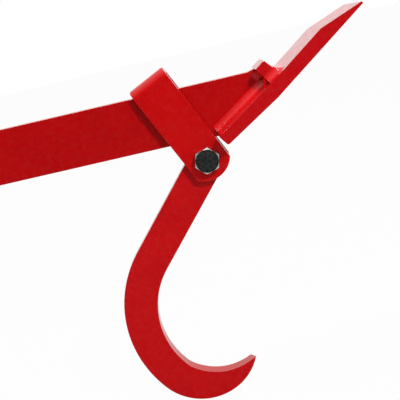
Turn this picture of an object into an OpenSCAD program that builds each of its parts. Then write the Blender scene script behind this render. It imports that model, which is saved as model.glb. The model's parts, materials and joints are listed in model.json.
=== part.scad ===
// Felling lever with a turning hook. A flat bar ends in a wide welded pry tongue, and a bent strap
// slides on the bar and carries the hook on one bolt.
// The origin is the middle of the tongue's flat underside. The bar runs along X with its handle end
// toward -X, and the hook hangs below it. Y = 0 is the middle of the bar's thickness.

/* [Bar] */
// Length of the whole lever along the bar, from the grip's end to the tongue's tip
lever_length = 800; // [700:10:1300]
// Height of the flat bar
bar_h = 40; // [36:1:46]
// Thickness of the flat bar
bar_t = 8; // [6:0.5:9]

/* [Tongue] */
// Angle between the tongue and the bar
tongue_angle = 35.6; // [32:0.2:39]
// Width of the tongue
tongue_w = 60; // [50:1:75]
// Thickness of the tongue's plate
tongue_t = 10; // [8:0.5:12]
// Length of the flat underside, from the bend to the tip
tongue_flat = 84.8; // [78:0.2:96]
// Length of the bevel on top of the blade
bevel_l = 31.5; // [20:0.5:40]
// Thickness of the blunt tip
tip_t = 1.6; // [1:0.1:3]
// Length of the heel, from the block's rear face to its end
heel_l = 51.4; // [46:0.2:58]
// Thickness of the heel at its end
heel_end_t = 8.4; // [7:0.1:9]
// Rise of the heel's underside at its end
heel_rise = 3.6; // [2:0.1:5]
// Radius at the heel's lower edge
heel_edge_r = 1.4; // [0.5:0.1:3]

/* [Stop block] */
// Distance from the block's front foot to the tongue's tip
blade_l = 70.9; // [66:0.1:76]
// Length of the block at its foot
block_foot_l = 9.8; // [8:0.1:12]
// Length of the block at its top
block_top_l = 8.6; // [6:0.1:9.8]
// Height of the block above the tongue
block_h = 13.4; // [10:0.1:18]
// Width of the block across the tongue
block_w = 35; // [24:1:44]
// Drop from the block's top to where the bar's upper edge meets it
bar_drop = 1.7; // [1:0.1:4]

/* [Welds] */
// Leg of the weld runs
weld_leg = 5.5; // [3:0.1:6]
// Radius of the hollow in a weld's face
weld_hollow_r = 10; // [9:0.5:20]
// Length of the weld on the bar's upper edge
top_weld_l = 6; // [3:0.5:12]

/* [Stirrup] */
// Width of the strap
strap_w = 30; // [26:1:36]
// Thickness of the strap
strap_t = 5; // [3:0.5:6]
// Backward lean of the stirrup from square to the bar, where its closed end lies on the bar
stirrup_lean = 24.9; // [15:0.1:30]
// Inner radius of the two bends at the closed end
bend_r = 3; // [1:0.5:4]
// Radius of the arms' rounded lower ends
arm_end_r = 19; // [16:0.5:24]
// Length of the arms past the bolt's axis
arm_past_bolt = 15.5; // [14:0.5:18]
// Radius at the edges of the closed end
crown_edge_r = 1.5; // [0.5:0.5:4]
// Play between the strap's arms and the thicker of bar and hook, each side
arm_play = 1; // [0.5:0.1:2]
// Gap over the bar at the closed end
crown_gap = 0.3; // [0.2:0.1:1]
// Gap between the strap's front edge and the heel's upper corner
heel_gap = 3.3; // [3:0.1:10]

/* [Hook] */
// Width of the hook's flat steel
hook_w = 26; // [22:1:28]
// Thickness of the hook's flat steel
hook_t = 10; // [8:0.5:12]
// Angle of the hook's shank below the bar
shank_angle = 48.8; // [30:0.2:60]
// Straight length of the outer edge, from the bolt
shank_l = 89.2; // [60:0.2:120]
// Offset of the shank's middle line in front of the bolt
shank_offset = 0.8; // [0:0.1:1.5]
// Outer radius of the wide part of the curve
wide_r = 89.7; // [70:0.1:120]
// Turn of the wide part of the curve
wide_turn = 78.4; // [60:0.2:90]
// Outer radius of the tight part of the curve
tight_r = 43.3; // [38:0.1:60]
// Turn of the tight part of the curve
tight_turn = 121; // [100:1:130]
// Length over which the hook narrows to its point
taper_l = 86; // [60:1:90]
// Fullness of the narrowing stretch
taper_power = 2.5; // [1.5:0.1:3.5]
// Length of the ground facet at the point, on the far side
facet_l = 16; // [8:1:24]
// Depth of the ground facet at the point
facet_depth = 2.8; // [1:0.1:4]
// Gap between the hook's eye and the bar's lower edge
eye_gap = 0.8; // [0.5:0.1:2]

/* [Bolt] */
// Diameter of the bolt
bolt_d = 10; // [8:0.5:10]
// Width of the bolt's head and nut across the flats
hex_af = 17; // [15:0.5:19]
// Height of the bolt's head
head_h = 6.4; // [5:0.1:8]
// Direction of one corner of the head, from the bar
hex_turn = 77; // [60:1:120]
// Height of the lock nut
nut_h = 10; // [9:0.5:12]
// Height of the lock nut's hexagon
nut_hex_h = 7; // [6:0.5:8]
// Height of the nylon ring in the lock nut
nut_ring_h = 2.2; // [1.5:0.1:2.5]
// Radius of the nylon ring
nut_ring_r = 6.6; // [6:0.1:6.8]
// Length of bolt past the nut
bolt_free_l = 6; // [5:0.5:12]
// Outer diameter of the washer
washer_d = 20; // [18:0.5:24]
// Thickness of the washer
washer_t = 2; // [1.5:0.1:3]
// Radial clearance of the bolt in the hook and the stirrup
pivot_clear = 0.1; // [0.05:0.01:0.1]
// Radial clearance of the nut and its ring
thread_clear = 0.05; // [0.02:0.01:0.08]
// Radial clearance of the washer
washer_clear = 0.25; // [0.1:0.05:0.5]
// Gap between the arms' outer faces and the head and washer
side_clear = 0.1; // [0.05:0.05:0.3]

/* [Grip] */
// Length of the grip
grip_l = 130; // [110:5:180]
// Wall of the grip over the bar's faces
grip_face_wall = 4; // [3:0.5:7]
// Wall of the grip over the bar's edges
grip_edge_wall = 3.5; // [3:0.5:7]
// Thickness of the grip's closed end
grip_end_wall = 6; // [4:0.5:10]
// Radius of the grip's long edges
grip_r = 6.5; // [4:0.5:6.5]
// Height of the collars past the grip's sides
collar_rim = 3; // [2:0.5:5]
// Length of each collar
collar_l = 7; // [5:0.5:12]
// Clearance between the grip and the bar
grip_clear = 0.05; // [0.02:0.01:0.2]

/* [Hidden] */
$fn = 96;

red = [0.75, 0.05, 0.07];
zinc = [0.72, 0.74, 0.74];
black = [0.08, 0.08, 0.08];
nylon = [0.92, 0.92, 0.88];

// How far a weld's profile reaches into its neighbours before they are cut out of it
sink = 1;
// Flat strips in the hollow of a weld's face
weld_steps = 6;
// Gap between two passes of a weld
pass_gap = 0.2;
// How far the weld along the bar stops short of the heel's end and the block
weld_end = 0.3;
// How far a cutting tool reaches past what it cuts
over = 1;
// Degrees between two points on the hook's curves
arc_step = 3;
// How much the hexagons' corners are chamfered, as a share of the width across the flats
hex_chamfer_share = 0.06;

// The tongue's stations are measured along its underside from the origin, and its heights square to
// the underside. This turns one of its points into the lever's X and Z.
function in_part(s, h) = [
    s * cos(tongue_angle) - h * sin(tongue_angle),
    s * sin(tongue_angle) + h * cos(tongue_angle)
];

tip_s = tongue_flat / 2;
bend_s = -tongue_flat / 2;
block_front_s = tip_s - blade_l;
block_rear_s = block_front_s - block_foot_l;
heel_end_s = block_rear_s - heel_l;
heel_top_h = heel_rise + heel_end_t;
block_top_h = tongue_t + block_h;

// The heel's upper face runs from the block's rear foot to the heel's upper corner
heel_slope = atan((heel_top_h - tongue_t) / heel_l);
heel_dir = tongue_angle - heel_slope;
heel_corner = in_part(heel_end_s, heel_top_h);
heel_face_l = heel_l / cos(heel_slope);

// The bar's upper edge meets the block's rear face just below the block's top
bar_top_end = in_part(block_rear_s, block_top_h - bar_drop);
bar_foot_end = in_part(block_rear_s, tongue_t);
bar_top_z = bar_top_end[1];
bar_low_z = bar_top_z - bar_h;
bar_low_x = heel_corner[0] - (heel_corner[1] - bar_low_z) / tan(heel_dir);
tip_x = in_part(tip_s, 0)[0];
lever_end_x = tip_x - lever_length;
bar_end_x = lever_end_x + grip_end_wall;

// The bolt hangs below the bar by the hook's eye, and behind the heel by the strap's front edge
eye_r = hook_w / 2;
bolt_below = eye_r + shank_offset + eye_gap;
bolt_z = bar_low_z - bolt_below;
heel_above_bolt = heel_corner[1] - bolt_z;
bolt_x = heel_corner[0]
    - (strap_w / 2 + heel_gap - heel_above_bolt * sin(stirrup_lean)) / cos(stirrup_lean);
bolt_r = bolt_d / 2;

// The strap's inside is as wide as the thicker of bar and hook with its play, and so deep that the
// closed end just clears the bar's upper edge
gap_half = max(bar_t, hook_t) / 2 + arm_play;
arm_out = gap_half + strap_t;
corner_in = max(0, bar_t / 2 - (gap_half - bend_r));
corner_sag = bend_r - sqrt(bend_r * bend_r - corner_in * corner_in);
crown_in = corner_sag
    + (bolt_below + bar_h + crown_gap + strap_w / 2 * sin(stirrup_lean)) / cos(stirrup_lean);
crown_out = crown_in + strap_t;

head_y = -arm_out - side_clear;
washer_y = arm_out + side_clear;
nut_y = washer_y + washer_t;
bolt_end_y = nut_y + nut_h + bolt_free_l;

// The hook's outer edge starts abreast of the bolt and heads down the shank, then turns left twice
hook_dir = shank_angle - 180;
outer_offset = shank_offset - hook_w / 2;
wide_l = wide_r * wide_turn * PI / 180;
tight_l = tight_r * tight_turn * PI / 180;
edge_l = shank_l + wide_l + tight_l;
function heading(d) =
    d < shank_l ? hook_dir :
    d < shank_l + wide_l ? hook_dir + (d - shank_l) / wide_r * 180 / PI :
    hook_dir + wide_turn + (d - shank_l - wide_l) / tight_r * 180 / PI;
function ahead(a) = [cos(a), sin(a)];
function left_of(a) = [-sin(a), cos(a)];
wide_start = outer_offset * left_of(hook_dir) + shank_l * ahead(hook_dir);
wide_centre = wide_start + wide_r * left_of(hook_dir);
tight_start = wide_centre - wide_r * left_of(hook_dir + wide_turn);
tight_centre = tight_start + tight_r * left_of(hook_dir + wide_turn);
function outer_edge(d) =
    d < shank_l ? outer_offset * left_of(hook_dir) + d * ahead(hook_dir) :
    d < shank_l + wide_l ? wide_centre - wide_r * left_of(heading(d)) :
    tight_centre - tight_r * left_of(heading(d));
// The hook keeps its width up to the last stretch, and narrows there to its point
function hook_width(d) =
    let (left = max(0, edge_l - d))
    left > taper_l ? hook_w : hook_w * (1 - pow(1 - left / taper_l, taper_power));
function inner_edge(d) = outer_edge(d) + hook_width(d) * left_of(heading(d));
wide_steps = ceil(wide_turn / arc_step);
tight_steps = ceil(tight_turn / arc_step);
stations = concat(
    [0],
    [for (i = [0 : wide_steps - 1]) shank_l + wide_l * i / wide_steps],
    [for (i = [0 : tight_steps]) shank_l + wide_l + tight_l * i / tight_steps]
);
hook_tip = outer_edge(edge_l);
hook_end_dir = heading(edge_l);

module red_paint() { color(red) children(); }

// An outline in X and Z, made into a plate of the given thickness about Y = 0
module plate(thickness) {
    rotate([90, 0, 0]) linear_extrude(thickness, center = true) children();
}

// From the tongue's stations and heights into the lever's frame
module on_tongue() { rotate([0, -tongue_angle, 0]) children(); }

// From the bolt's axis into the lever's frame
module at_bolt() { translate([bolt_x, 0, bolt_z]) children(); }

// Turned so that a shape's Z points along +Y, from the given place
module along_y(y) { translate([0, y, 0]) rotate([-90, 0, 0]) children(); }

module rounded_rect(w, h, r) {
    square([w - 2 * r, h], center = true);
    square([w, h - 2 * r], center = true);
    for (x = [-1, 1], y = [-1, 1]) translate([x * (w / 2 - r), y * (h / 2 - r)]) circle(r);
}

module tongue_plate() {
    on_tongue() plate(tongue_w) difference() {
        polygon([
            [heel_end_s, heel_rise],
            [bend_s, 0],
            [tip_s, 0],
            [tip_s, tip_t],
            [tip_s - bevel_l, tongue_t],
            [block_rear_s, tongue_t],
            [heel_end_s, heel_top_h]
        ]);
        heel_edge_cut();
    }
}

// What is missing at the heel's lower edge, outside its rounding
module heel_edge_cut() {
    slope = atan(heel_rise / (bend_s - heel_end_s));
    translate([heel_end_s, heel_rise]) rotate(-slope) difference() {
        translate([-over, -over]) square(heel_edge_r + over);
        translate([heel_edge_r, heel_edge_r]) circle(heel_edge_r);
    }
}

module block_solid() {
    on_tongue() plate(block_w) polygon([
        [block_rear_s, tongue_t],
        [block_front_s, tongue_t],
        [block_rear_s + block_top_l, block_top_h],
        [block_rear_s, block_top_h]
    ]);
}

module bar_solid() {
    plate(bar_t) polygon([
        [bar_end_x, bar_low_z],
        [bar_low_x, bar_low_z],
        bar_foot_end,
        bar_top_end,
        [bar_end_x, bar_top_z]
    ]);
}

module lever_bar() { red_paint() bar_solid(); }
module tongue() { red_paint() tongue_plate(); }
module stop_block() { red_paint() block_solid(); }

// Section of a weld in the corner between two faces, hollow in its face. It starts the given distances
// inside the first and the second face.
function weld_section(inside, below) = let (
    centre = (weld_leg + sqrt(2 * pow(weld_hollow_r, 2) - pow(weld_leg, 2))) / 2,
    from = 360 + atan2(-centre, weld_leg - centre),
    to = 360 + atan2(weld_leg - centre, -centre)
) concat(
    inside > 0 ? [[-inside, weld_leg], [-inside, -below]] : [[0, -below]],
    below > 0 ? [[weld_leg, -below]] : [],
    [for (i = [0 : weld_steps])
        centre * [1, 1] + weld_hollow_r * ahead(from + (to - from) * i / weld_steps)]
);

// A straight weld run along X from 0, with its legs along +Y and +Z
module weld_run(length, inside) {
    rotate([90, 0, 90]) linear_extrude(length) polygon(weld_section(inside, inside));
}

// A weld's quarter turn about Z, from +X to +Y
module weld_corner() {
    rotate_extrude(angle = 90) polygon(weld_section(0, sink));
}

// The three passes on +Y: along the foot of the bar, up the block's rear face and along its foot
module weld_bar_side() {
    clear_of_foot = weld_leg + pass_gap;
    rear_w = (block_w - bar_t) / 2 - clear_of_foot;
    red_paint() {
        translate([heel_corner[0], bar_t / 2, heel_corner[1]]) rotate([0, -heel_dir, 0])
            translate([weld_end, 0, 0]) weld_run(heel_face_l - 2 * weld_end, 0);
        on_tongue() translate([block_rear_s, bar_t / 2, tongue_t]) {
            translate([0, 0, clear_of_foot]) rotate([0, -90, 0])
                weld_run(block_h - bar_drop - clear_of_foot, 0);
            translate([0, clear_of_foot + rear_w / 2, 0]) plate(rear_w) polygon([
                [0, 0],
                [0, weld_leg],
                [-weld_leg, weld_leg * tan(heel_slope)]
            ]);
        }
    }
}

module weld_bar_near() { mirror([0, 1, 0]) weld_bar_side(); }
module weld_bar_far() { weld_bar_side(); }

module weld_block() {
    red_paint() difference() {
        on_tongue() translate([0, 0, tongue_t]) block_front_and_ends();
        tongue_plate();
        block_solid();
    }
}

// Along the block's front foot, round both front corners and along both ends
module block_front_and_ends() {
    translate([block_front_s, block_w / 2, 0]) rotate([0, 0, -90]) weld_run(block_w, sink);
    for (side = [0, 1]) mirror([0, side, 0]) {
        translate([block_front_s, block_w / 2, 0]) weld_corner();
        translate([block_rear_s, block_w / 2, 0]) weld_run(block_foot_l, sink);
    }
}

module weld_bar_top() {
    red_paint() plate(bar_t) polygon([
        [bar_top_end[0] - top_weld_l, bar_top_z],
        bar_top_end,
        in_part(block_rear_s, block_top_h)
    ]);
}

module weld_heel() {
    red_paint() heel_weld_solid();
}

module heel_weld_solid() {
    overhang = (heel_corner[0] - bar_low_x) / cos(heel_dir);
    plate(bar_t) polygon([
        heel_corner,
        [bar_low_x, bar_low_z],
        in_part(heel_end_s, heel_top_h - overhang)
    ]);
}

module hand_grip() {
    body_h = bar_h + 2 * grip_edge_wall;
    body_t = bar_t + 2 * grip_face_wall;
    bar_mid_z = (bar_top_z + bar_low_z) / 2;
    color(black) difference() {
        translate([lever_end_x, 0, bar_mid_z]) rotate([90, 0, 90]) {
            linear_extrude(grip_l) rounded_rect(body_t, body_h, grip_r);
            for (x = [0, grip_l - collar_l]) translate([0, 0, x]) linear_extrude(collar_l)
                rounded_rect(body_t + 2 * collar_rim, body_h + 2 * collar_rim, grip_r + collar_rim);
        }
        translate([bar_end_x, -bar_t / 2 - grip_clear, bar_low_z - grip_clear])
            cube([grip_l, bar_t + 2 * grip_clear, bar_h + 2 * grip_clear]);
    }
}

// A hexagon whose corners are chamfered at its far end
module hex_prism(af, h) {
    corner_r = af / sqrt(3);
    chamfer = af * hex_chamfer_share;
    intersection() {
        cylinder(r = corner_r, h = h, $fn = 6);
        rotate_extrude() polygon([
            [0, 0],
            [corner_r, 0],
            [corner_r, h - chamfer],
            [af / 2, h],
            [0, h]
        ]);
    }
}

module pivot_bolt() {
    color(zinc) at_bolt() {
        along_y(head_y) cylinder(r = bolt_r, h = bolt_end_y - head_y);
        translate([0, head_y, 0]) rotate([90, 0, 0]) rotate(hex_turn) hex_prism(hex_af, head_h);
    }
}

module washer() {
    color(zinc) at_bolt() along_y(washer_y) difference() {
        cylinder(d = washer_d, h = washer_t);
        translate([0, 0, -over]) cylinder(r = bolt_r + washer_clear, h = washer_t + 2 * over);
    }
}

module lock_nut() {
    lip_h = nut_h - nut_hex_h - nut_ring_h;
    color(zinc) at_bolt() along_y(nut_y) difference() {
        union() {
            hex_prism(hex_af, nut_hex_h);
            cylinder(r = hex_af / 2 - 0.6, h = nut_h);
        }
        translate([0, 0, -over]) cylinder(r = bolt_r + thread_clear, h = nut_h + 2 * over);
        translate([0, 0, nut_hex_h]) cylinder(r = nut_ring_r, h = nut_ring_h);
        translate([0, 0, nut_hex_h]) cylinder(r = nut_ring_r - lip_h, h = nut_h);
    }
}

module lock_nut_ring() {
    color(nylon) at_bolt() along_y(nut_y + nut_hex_h) difference() {
        cylinder(r = nut_ring_r - thread_clear, h = nut_ring_h);
        translate([0, 0, -over]) cylinder(r = bolt_r + thread_clear, h = nut_ring_h + 2 * over);
    }
}

// Outline of an arm, seen from the side: straight edges, a rounded lower end and the closed end's edges
module arm_outline() {
    end_centre = arm_end_r - arm_past_bolt;
    intersection() {
        translate([0, crown_out / 2 - arm_end_r / 2])
            rounded_rect(strap_w, crown_out + arm_end_r, crown_edge_r);
        union() {
            translate([0, end_centre]) circle(arm_end_r);
            translate([-strap_w, end_centre]) square([strap_w * 2, crown_out]);
        }
    }
}

// The bent strap seen from its end, longer than its arms
module strap_outline() {
    difference() {
        u_outline(arm_out, crown_out, bend_r + strap_t);
        u_outline(gap_half, crown_in, bend_r);
    }
}

// A strip of the given half width that ends square below and has rounded corners at its top
module u_outline(half, top, r) {
    reach = arm_end_r + 2 * over;
    translate([-half, -reach]) square([2 * half, reach + top - r]);
    translate([-half + r, -reach]) square([2 * (half - r), reach + top]);
    for (side = [-1, 1]) translate([side * (half - r), top - r]) circle(r);
}

module stirrup() {
    red_paint() at_bolt() rotate([0, -stirrup_lean, 0]) difference() {
        intersection() {
            rotate([90, 0, 90]) linear_extrude(strap_w + 2 * over, center = true) strap_outline();
            plate(2 * arm_out + 2 * over) arm_outline();
        }
        along_y(-arm_out - over) cylinder(r = bolt_r + pivot_clear, h = 2 * (arm_out + over));
    }
}

module hook_outline() {
    polygon(concat(
        [for (d = stations) outer_edge(d)],
        [for (i = [len(stations) - 2 : -1 : 0]) inner_edge(stations[i])]
    ));
    translate(shank_offset * left_of(hook_dir)) circle(eye_r);
}

// The wedge that grinding takes off the outer edge at the point: nothing on the near face, most on the far
module point_grind() {
    depth_angle = atan(facet_depth / hook_t);
    translate([hook_tip[0], -hook_t / 2, hook_tip[1]]) rotate([0, -hook_end_dir, 0])
        rotate([depth_angle, 0, 0])
        translate([-facet_l, 0, -facet_l]) cube([facet_l * 2, hook_t * 2, facet_l]);
}

module hook() {
    red_paint() at_bolt() difference() {
        plate(hook_t) hook_outline();
        along_y(-hook_t) cylinder(r = bolt_r + pivot_clear, h = 2 * hook_t);
        point_grind();
    }
}

lever_bar();
tongue();
stop_block();
weld_bar_near();
weld_bar_far();
weld_block();
weld_bar_top();
weld_heel();
hand_grip();
pivot_bolt();
washer();
lock_nut();
lock_nut_ring();
stirrup();
hook();
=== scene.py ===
"""A felling lever with a turning hook: red painted steel, a zinc plated bolt and a black rubber grip."""
import json
from math import cos, pi, radians, sin

import bmesh
import bpy
from mathutils import Matrix, Vector


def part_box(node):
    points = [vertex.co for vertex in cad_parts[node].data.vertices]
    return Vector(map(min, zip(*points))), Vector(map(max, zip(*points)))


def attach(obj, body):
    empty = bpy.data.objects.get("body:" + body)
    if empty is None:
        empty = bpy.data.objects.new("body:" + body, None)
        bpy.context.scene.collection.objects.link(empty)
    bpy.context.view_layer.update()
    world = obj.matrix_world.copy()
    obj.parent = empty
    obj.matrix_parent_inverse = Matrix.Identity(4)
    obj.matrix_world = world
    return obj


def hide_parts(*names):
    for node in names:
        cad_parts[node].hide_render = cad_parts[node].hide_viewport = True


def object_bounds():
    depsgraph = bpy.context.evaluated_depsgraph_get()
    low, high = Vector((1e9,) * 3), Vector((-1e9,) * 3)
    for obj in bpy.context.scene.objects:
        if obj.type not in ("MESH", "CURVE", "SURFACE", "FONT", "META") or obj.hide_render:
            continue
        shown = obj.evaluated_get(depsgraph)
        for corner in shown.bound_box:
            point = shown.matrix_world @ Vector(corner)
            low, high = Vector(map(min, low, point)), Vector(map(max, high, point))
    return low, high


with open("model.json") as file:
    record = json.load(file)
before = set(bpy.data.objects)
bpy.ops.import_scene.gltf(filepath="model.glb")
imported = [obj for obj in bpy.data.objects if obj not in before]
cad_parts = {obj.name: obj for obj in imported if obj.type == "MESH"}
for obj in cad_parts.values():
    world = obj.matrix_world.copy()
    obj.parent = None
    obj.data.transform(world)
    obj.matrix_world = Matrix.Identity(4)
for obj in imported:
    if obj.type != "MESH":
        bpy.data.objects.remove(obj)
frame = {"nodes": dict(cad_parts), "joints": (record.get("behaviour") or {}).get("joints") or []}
cad_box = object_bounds()
nodes = frame["nodes"]
MM = 0.001

# The pivot is the middle of the bolt, which both hinges turn about
pivot = Vector(next(j["pos_m"] for j in frame["joints"] if j["name"] == "hook_swing"))

# The camera stands on the bolt's side, a little above the bar, and is rolled against the bar
CAMERA_FROM_PIVOT = Vector((9.7, -540.3, 90.5)) * MM
CAMERA_YAW = 2.32
CAMERA_PITCH = 12.63
CAMERA_ROLL = -13.29
CAMERA_LENS = 66.03
CAMERA_SENSOR = 36
CAMERA_NEAR = 0.01

# Rounding of the steel's edges, and of the small parts' edges
STEEL_EDGE = 0.5 * MM
PLATE_EDGE = 0.7 * MM
SMALL_EDGE = 0.3 * MM
EDGE_STEPS = 3
# Edges that turn by more than this are rounded
SHARP_ANGLE = radians(28)
# Edges that still turn by more than this are shaded as sharp
CREASE_ANGLE = radians(50)
# Corners of the CAD mesh nearer than this are one, and faces that turn by less than this are one
SAME_PLACE = 0.001 * MM
SAME_PLANE = radians(0.5)

# The grip's rounding, and its raised bands: their number, width, place and rounding
GRIP_EDGE = 1.2 * MM
RIB_COUNT = 15
RIB_WIDTH = 3.0 * MM
RIB_MARGIN = 15 * MM
RIB_SINK = 1.8 * MM
RIB_CORNER = 6.5 * MM
RIB_CORNER_STEPS = 6
RIB_EDGE = 0.6 * MM
RIB_EDGE_STEPS = 2

# The bolt's thread: rings from the nut's face on, with a plain length left at the bolt's end
BOLT_RADIUS = 5.0 * MM
THREAD_PITCH = 1.5 * MM
THREAD_RISE = 0.25 * MM
THREAD_START = 0.3 * MM
THREAD_LEAD = 1.0 * MM
THREAD_STEPS = 48
# A ring's section: shares of the pitch along the bolt, and shares of the rise away from it
THREAD_SECTION = ((0.05, 0.0), (0.5, 1.0), (0.95, 0.0))

# The lacquer over the red
LACQUER_SPECULAR = 0.25
LACQUER_WEIGHT = 0.5
LACQUER_ROUGHNESS = 0.06
PEEL_DEPTH = 0.3 * MM
# How fine the patterns on the surfaces are
PAINT_CLOUDS, PAINT_SPOTS, PAINT_PEEL = 28.0, 240.0, 330.0
ZINC_CLOUDS, ZINC_SPOTS, ZINC_MARKS = 160.0, 900.0, 1400.0
RUBBER_DUST, RUBBER_GRAIN = 45.0, 1100.0
NYLON_CLOUDS = 300.0

# The studio in reflections: how bright its front is, and where it turns bright, seen along Y and along Z
DARK_SIDE = 0.0
FRONT_DARK, FRONT_LIT = -0.75, 0.0
ABOVE_DARK, ABOVE_LIT = 0.5, 0.95
ABOVE_LIGHT = 0.9
# The even light around the object
WORLD_LIGHT = 0.3
# The lamps: place from the pivot, width and power
LAMPS = {
    "key": ((0.75, -1.2, 0.95), 0.25, 15),
    "top": ((-0.2, -0.1, 1.6), 0.8, 16),
}
# How much of the floor's colour is its own white, against what the lamps leave of it
FLOOR_GLOW = 0.97
FLOOR_GREY = 0.6
FLOOR_ROUGHNESS = 0.9
FLOOR_REACH = 12.0
FLOOR_DROP = 0.5 * MM


def node_tree(material):
    material.use_nodes = True
    tree = material.node_tree
    return tree, tree.nodes["Principled BSDF"]


def add(tree, kind, **inputs):
    """A node with the given input values. An underscore in a name stands for a space."""
    node = tree.nodes.new(kind)
    for name, value in inputs.items():
        node.inputs[name.replace("_", " ")].default_value = value
    return node


def object_position(tree):
    return tree.nodes.new("ShaderNodeTexCoord").outputs["Object"]


def noise(tree, where, scale, detail=3.0, roughness=0.5):
    node = add(tree, "ShaderNodeTexNoise", Scale=scale, Detail=detail, Roughness=roughness)
    tree.links.new(where, node.inputs["Vector"])
    return node.outputs["Fac"]


def span(tree, value, low, high, to_low, to_high):
    node = tree.nodes.new("ShaderNodeMapRange")
    node.inputs["From Min"].default_value = low
    node.inputs["From Max"].default_value = high
    node.inputs["To Min"].default_value = to_low
    node.inputs["To Max"].default_value = to_high
    tree.links.new(value, node.inputs["Value"])
    return node.outputs["Result"]


def clouds(tree, where, scale, detail=4.0, roughness=0.5):
    """A soft mask from 0 to 1 that covers about half of the surface."""
    return span(tree, noise(tree, where, scale, detail, roughness), 0.3, 0.7, 0.0, 1.0)


def relief(tree, height, strength, depth):
    """The normal of a fine relief."""
    bump = add(tree, "ShaderNodeBump", Strength=strength, Distance=depth)
    tree.links.new(height, bump.inputs["Height"])
    return bump.outputs["Normal"]


def larger(tree, first, second):
    node = tree.nodes.new("ShaderNodeMath")
    node.operation = "MAXIMUM"
    tree.links.new(first, node.inputs[0])
    tree.links.new(second, node.inputs[1])
    return node.outputs["Value"]


def mix_shaders(tree, amount, first, second):
    node = tree.nodes.new("ShaderNodeMixShader")
    tree.links.new(amount, node.inputs["Fac"])
    tree.links.new(first, node.inputs[1])
    tree.links.new(second, node.inputs[2])
    return node.outputs[0]


def mix_colour(tree, amount, first, second):
    node = tree.nodes.new("ShaderNodeMix")
    node.data_type = "RGBA"
    tree.links.new(amount, node.inputs["Factor"])
    for socket, colour in ((node.inputs["A"], first), (node.inputs["B"], second)):
        if isinstance(colour, tuple):
            socket.default_value = (*colour, 1)
        else:
            tree.links.new(colour, socket)
    return node.outputs["Result"]


def group_of(name, inputs, outputs):
    """A shader node group with named value, colour and vector sockets."""
    group = bpy.data.node_groups.new(name, "ShaderNodeTree")
    for label, kind, value in inputs:
        group.interface.new_socket(label, in_out="INPUT", socket_type=kind).default_value = value
    for label, kind in outputs:
        group.interface.new_socket(label, in_out="OUTPUT", socket_type=kind)
    return group, group.nodes.new("NodeGroupInput"), group.nodes.new("NodeGroupOutput")


def make_paint_skin():
    """Orange peel, dust in the lacquer and a faint unevenness of the red."""
    group, given, result = group_of(
        "paint_skin",
        [
            ("Colour", "NodeSocketColor", (0.6, 0.01, 0.015, 1)),
            ("Thick Colour", "NodeSocketColor", (0.4, 0.004, 0.008, 1)),
            ("Peel", "NodeSocketFloat", 0.05),
            ("Roughness", "NodeSocketFloat", 0.2),
        ],
        [("Colour", "NodeSocketColor"), ("Roughness", "NodeSocketFloat"), ("Normal", "NodeSocketVector")],
    )
    link = group.links.new
    where = object_position(group)
    thickness = clouds(group, where, PAINT_CLOUDS, roughness=0.6)
    mixed = mix_colour(group, thickness, given.outputs["Colour"], given.outputs["Thick Colour"])
    link(mixed, result.inputs["Colour"])
    spots = span(group, noise(group, where, PAINT_SPOTS, 2.0), 0.35, 0.65, -0.05, 0.06)
    rough = group.nodes.new("ShaderNodeMath")
    link(given.outputs["Roughness"], rough.inputs[0])
    link(spots, rough.inputs[1])
    link(rough.outputs["Value"], result.inputs["Roughness"])
    bump = add(group, "ShaderNodeBump", Distance=PEEL_DEPTH)
    link(given.outputs["Peel"], bump.inputs["Strength"])
    link(noise(group, where, PAINT_PEEL, 2.0, 0.4), bump.inputs["Height"])
    link(bump.outputs["Normal"], result.inputs["Normal"])
    return group


paint_skin = make_paint_skin()


def paint(name, colour, thick, peel=0.06, roughness=0.24):
    """Glossy paint: its colour, its colour where it lies thick, its orange peel and its roughness."""
    material = bpy.data.materials.new(name)
    tree, shader = node_tree(material)
    skin = tree.nodes.new("ShaderNodeGroup")
    skin.node_tree = paint_skin
    skin.inputs["Colour"].default_value = (*colour, 1)
    skin.inputs["Thick Colour"].default_value = (*thick, 1)
    skin.inputs["Peel"].default_value = peel
    skin.inputs["Roughness"].default_value = roughness
    tree.links.new(skin.outputs["Colour"], shader.inputs["Base Color"])
    tree.links.new(skin.outputs["Roughness"], shader.inputs["Roughness"])
    tree.links.new(skin.outputs["Normal"], shader.inputs["Normal"])
    shader.inputs["Specular IOR Level"].default_value = LACQUER_SPECULAR
    shader.inputs["Coat Weight"].default_value = LACQUER_WEIGHT
    shader.inputs["Coat Roughness"].default_value = LACQUER_ROUGHNESS
    return material


def zinc_plate(name, colour, roughness):
    """Bright zinc plating with faint clouds and fine machining marks."""
    material = bpy.data.materials.new(name)
    tree, shader = node_tree(material)
    where = object_position(tree)
    darker = tuple(c * 0.8 for c in colour)
    mixed = mix_colour(tree, clouds(tree, where, ZINC_CLOUDS), colour, darker)
    tree.links.new(mixed, shader.inputs["Base Color"])
    rough = span(tree, noise(tree, where, ZINC_SPOTS), 0.3, 0.7, roughness - 0.06, roughness + 0.08)
    tree.links.new(rough, shader.inputs["Roughness"])
    marks = relief(tree, noise(tree, where, ZINC_MARKS), 0.12, 0.1 * MM)
    tree.links.new(marks, shader.inputs["Normal"])
    shader.inputs["Metallic"].default_value = 1.0
    return material


def rubber(name, colour):
    """Matt rubber with a fine grain and some dust."""
    material = bpy.data.materials.new(name)
    tree, shader = node_tree(material)
    where = object_position(tree)
    grain = noise(tree, where, RUBBER_GRAIN, 4.0)
    lighter = tuple(c * 1.8 for c in colour)
    dust = span(tree, noise(tree, where, RUBBER_DUST, 4.0), 0.4, 0.75, 0.0, 1.0)
    tree.links.new(mix_colour(tree, dust, colour, lighter), shader.inputs["Base Color"])
    tree.links.new(span(tree, grain, 0.3, 0.7, 0.5, 0.68), shader.inputs["Roughness"])
    tree.links.new(relief(tree, grain, 0.3, 0.2 * MM), shader.inputs["Normal"])
    return material


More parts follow.
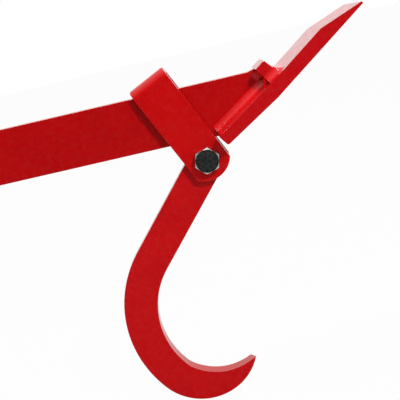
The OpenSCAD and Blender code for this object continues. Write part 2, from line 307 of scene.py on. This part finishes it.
def nylon_plastic(name, colour):
    material = bpy.data.materials.new(name)
    tree, shader = node_tree(material)
    where = object_position(tree)
    darker = tuple(c * 0.9 for c in colour)
    mixed = mix_colour(tree, clouds(tree, where, NYLON_CLOUDS, 3.0), colour, darker)
    tree.links.new(mixed, shader.inputs["Base Color"])
    shader.inputs["Roughness"].default_value = 0.45
    return material


# One red paint in copies of different brightness, matched to how each part is lit: painted shade on the
# bar, and painted light on the tongue, block, strap and hook, most of all on the welds.
bar_paint = paint("bar_paint", (0.56, 0.0015, 0.003), (0.50, 0.001, 0.002))
tongue_paint = paint("tongue_paint", (0.62, 0.003, 0.006), (0.56, 0.002, 0.005))
stirrup_paint = paint("stirrup_paint", (0.66, 0.002, 0.003), (0.58, 0.001, 0.002))
hook_paint = paint("hook_paint", (0.66, 0.003, 0.005), (0.59, 0.002, 0.004), peel=0.09)
weld_paint = paint("weld_paint", (0.75, 0.002, 0.004), (0.60, 0.001, 0.003), peel=0.2, roughness=0.26)
zinc = zinc_plate("zinc", (0.62, 0.66, 0.63), 0.3)
grip_rubber = rubber("grip_rubber", (0.018, 0.018, 0.019))
nylon = nylon_plastic("nylon", (0.8, 0.8, 0.74))


def finish(name, bm, material, body, replaced=()):
    """Makes a piece of a finished mesh, with its large faces flat and its rounded edges smooth."""
    mesh = bpy.data.meshes.new(name)
    bm.to_mesh(mesh)
    bm.free()
    piece = bpy.data.objects.new(name, mesh)
    bpy.context.scene.collection.objects.link(piece)
    mesh.materials.append(material)
    mesh.shade_smooth()
    mesh.set_sharp_from_angle(angle=CREASE_ANGLE)
    weighted = piece.modifiers.new("flat_faces", "WEIGHTED_NORMAL")
    weighted.keep_sharp = True
    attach(piece, body)
    if replaced:
        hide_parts(*replaced)


def merged_copy(node):
    """The CAD node's mesh with its loose triangles joined into whole faces."""
    bm = bmesh.new()
    bm.from_mesh(nodes[node].data)
    bmesh.ops.remove_doubles(bm, verts=bm.verts, dist=SAME_PLACE)
    bmesh.ops.dissolve_limit(bm, angle_limit=SAME_PLANE, verts=bm.verts, edges=bm.edges)
    return bm


def round_edges(bm, width, segments=EDGE_STEPS):
    sharp = [e for e in bm.edges if len(e.link_faces) == 2 and e.calc_face_angle(0) > SHARP_ANGLE]
    bmesh.ops.bevel(
        bm, geom=sharp, offset=width, offset_type="OFFSET", affect="EDGES",
        segments=segments, profile=0.5, material=-1, clamp_overlap=True,
    )


def softened(node, name, width, material, body):
    """A copy of the CAD node with its edges rounded, which stands for it."""
    bm = merged_copy(node)
    round_edges(bm, width)
    finish(name, bm, material, body, (node,))


def ribbed_grip():
    """The push-on grip: its sleeve with rounded edges, and a row of raised bands round it."""
    bm = merged_copy("hand_grip")
    round_edges(bm, GRIP_EDGE)
    finish("ribbed_sleeve", bm, grip_rubber, "lever", ("hand_grip",))
    low, high = (Vector(c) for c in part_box("hand_grip"))
    middle = (low + high) / 2
    thickness = 2 * ((high.y - low.y) / 2 - RIB_SINK)
    height = 2 * ((high.z - low.z) / 2 - RIB_SINK)
    bm = bmesh.new()
    first = low.x + RIB_MARGIN
    pitch = (high.x - low.x - 2 * RIB_MARGIN) / (RIB_COUNT - 1)
    for i in range(RIB_COUNT):
        made = bmesh.ops.create_cube(bm, size=1.0)["verts"]
        bmesh.ops.scale(bm, verts=made, vec=(RIB_WIDTH, thickness, height))
        bmesh.ops.translate(bm, verts=made, vec=(first + pitch * i, middle.y, middle.z))
    long_edges = [e for e in bm.edges if abs(e.verts[0].co.x - e.verts[1].co.x) > 0.5 * RIB_WIDTH]
    bmesh.ops.bevel(
        bm, geom=long_edges, offset=RIB_CORNER, offset_type="OFFSET", affect="EDGES",
        segments=RIB_CORNER_STEPS, profile=0.5, material=-1, clamp_overlap=True,
    )
    round_edges(bm, RIB_EDGE, RIB_EDGE_STEPS)
    finish("grip_ribs", bm, grip_rubber, "lever")


def bolt_thread():
    """The thread on the bolt's free end: one ring with a V section for each turn of the pitch."""
    bolt_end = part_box("pivot_bolt")[1][1]
    nut_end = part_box("lock_nut")[1][1]
    bm = bmesh.new()
    turns = int((bolt_end - nut_end - THREAD_LEAD) / THREAD_PITCH)
    for i in range(turns):
        start = nut_end + THREAD_START + THREAD_PITCH * i
        section = [
            bm.verts.new((
                pivot.x + BOLT_RADIUS + out * THREAD_RISE, start + along * THREAD_PITCH, pivot.z,
            ))
            for along, out in THREAD_SECTION
        ]
        edges = [bm.edges.new(pair) for pair in zip(section, section[1:])]
        bmesh.ops.spin(
            bm, geom=section + edges, cent=(pivot.x, 0, pivot.z), axis=(0, 1, 0),
            angle=2 * pi, steps=THREAD_STEPS, use_merge=True,
        )
    bmesh.ops.recalc_face_normals(bm, faces=bm.faces)
    finish("thread_rings", bm, zinc, "pivot")


def dress(node, material):
    """Gives a CAD node, shown as it is, its material."""
    mesh = nodes[node].data
    mesh.materials.clear()
    mesh.materials.append(material)


softened("lever_bar", "rolled_bar", STEEL_EDGE, bar_paint, "lever")
softened("tongue", "pry_tongue", PLATE_EDGE, tongue_paint, "lever")
softened("stop_block", "cross_block", STEEL_EDGE, tongue_paint, "lever")
softened("stirrup", "bent_strap", PLATE_EDGE, stirrup_paint, "strap")
softened("hook", "turning_hook", PLATE_EDGE, hook_paint, "cant_hook")
softened("pivot_bolt", "hex_bolt", SMALL_EDGE, zinc, "pivot")
softened("lock_nut", "hex_nut", SMALL_EDGE, zinc, "pivot")
ribbed_grip()
bolt_thread()
for weld in ("weld_bar_near", "weld_bar_far", "weld_block", "weld_bar_top", "weld_heel"):
    dress(weld, weld_paint)
dress("washer", zinc)
dress("lock_nut_ring", nylon)


def turned_camera(yaw, pitch, roll):
    """The camera's own axes as columns: right, up and back."""
    level = Matrix(((1, 0, 0), (0, 0, -1), (0, 1, 0)))
    yawed = Matrix(((cos(yaw), 0, sin(yaw)), (0, 1, 0), (-sin(yaw), 0, cos(yaw))))
    pitched = Matrix(((1, 0, 0), (0, cos(pitch), -sin(pitch)), (0, sin(pitch), cos(pitch))))
    rolled = Matrix(((cos(roll), -sin(roll), 0), (sin(roll), cos(roll), 0), (0, 0, 1)))
    seen = rolled @ pitched @ yawed @ level
    return Matrix((seen[0], -seen[1], -seen[2])).transposed()


def make_camera():
    data = bpy.data.cameras.new("camera")
    data.sensor_width = CAMERA_SENSOR
    data.lens = CAMERA_LENS
    data.clip_start = CAMERA_NEAR
    camera = bpy.data.objects.new("camera", data)
    bpy.context.scene.collection.objects.link(camera)
    turned = turned_camera(radians(CAMERA_YAW), radians(CAMERA_PITCH), radians(CAMERA_ROLL))
    camera.matrix_world = Matrix.Translation(pivot + CAMERA_FROM_PIVOT) @ turned.to_4x4()
    bpy.context.scene.camera = camera


def lit_side(tree):
    """How bright the studio is in each direction: dark only straight in front of the bolt's head."""
    where = tree.nodes.new("ShaderNodeTexCoord").outputs["Generated"]
    parts = tree.nodes.new("ShaderNodeSeparateXYZ")
    tree.links.new(where, parts.inputs[0])
    around = span(tree, parts.outputs["Y"], FRONT_DARK, FRONT_LIT, DARK_SIDE, 1.0)
    above = span(tree, parts.outputs["Z"], ABOVE_DARK, ABOVE_LIT, 0.0, ABOVE_LIGHT)
    return larger(tree, around, above)


def make_world():
    """White to the camera, a studio with a dark front in reflections, and even light otherwise."""
    world = bpy.data.worlds.new("studio")
    bpy.context.scene.world = world
    world.use_nodes = True
    tree = world.node_tree
    base = tree.nodes["Background"]
    base.inputs["Color"].default_value = (1, 1, 1, 1)
    base.inputs["Strength"].default_value = WORLD_LIGHT
    mirrored = add(tree, "ShaderNodeBackground", Color=(1, 1, 1, 1))
    tree.links.new(lit_side(tree), mirrored.inputs["Strength"])
    white = add(tree, "ShaderNodeBackground", Color=(1, 1, 1, 1), Strength=1.0)
    path = tree.nodes.new("ShaderNodeLightPath")
    shiny = larger(tree, path.outputs["Is Glossy Ray"], path.outputs["Is Transmission Ray"])
    lit = mix_shaders(tree, shiny, base.outputs[0], mirrored.outputs[0])
    seen = mix_shaders(tree, path.outputs["Is Camera Ray"], lit, white.outputs[0])
    tree.links.new(seen, tree.nodes["World Output"].inputs["Surface"])


def make_floor():
    """A pale floor under the lowest point, white to the camera with a faint shadow, not in reflections."""
    bm = bmesh.new()
    bmesh.ops.create_grid(bm, x_segments=1, y_segments=1, size=FLOOR_REACH)
    bmesh.ops.translate(bm, verts=bm.verts, vec=(pivot.x, 0, cad_box[0][2] - FLOOR_DROP))
    mesh = bpy.data.meshes.new("floor")
    bm.to_mesh(mesh)
    bm.free()
    floor = bpy.data.objects.new("floor", mesh)
    bpy.context.scene.collection.objects.link(floor)
    material = bpy.data.materials.new("pale_floor")
    tree, shader = node_tree(material)
    shader.inputs["Base Color"].default_value = (FLOOR_GREY, FLOOR_GREY, FLOOR_GREY, 1)
    shader.inputs["Roughness"].default_value = FLOOR_ROUGHNESS
    shader.inputs["Specular IOR Level"].default_value = 0.0
    glow = add(tree, "ShaderNodeEmission", Strength=1.0)
    path = tree.nodes.new("ShaderNodeLightPath")
    seen = span(tree, path.outputs["Is Camera Ray"], 0, 1, 0, FLOOR_GLOW)
    mixed = mix_shaders(tree, seen, shader.outputs[0], glow.outputs[0])
    tree.links.new(mixed, tree.nodes["Material Output"].inputs["Surface"])
    mesh.materials.append(material)
    floor.visible_glossy = False


def area_lamp(name, place, size, power):
    """A round lamp that shines at the pivot."""
    data = bpy.data.lights.new(name, "AREA")
    data.shape = "DISK"
    data.size = size
    data.energy = power
    lamp = bpy.data.objects.new(name, data)
    lamp.location = place
    lamp.rotation_euler = (pivot - place).to_track_quat("-Z", "Y").to_euler()
    bpy.context.scene.collection.objects.link(lamp)


make_camera()
make_world()
make_floor()
for name, (place, size, power) in LAMPS.items():
    area_lamp(name, pivot + Vector(place), size, power)
bpy.context.scene.view_settings.view_transform = "Standard"
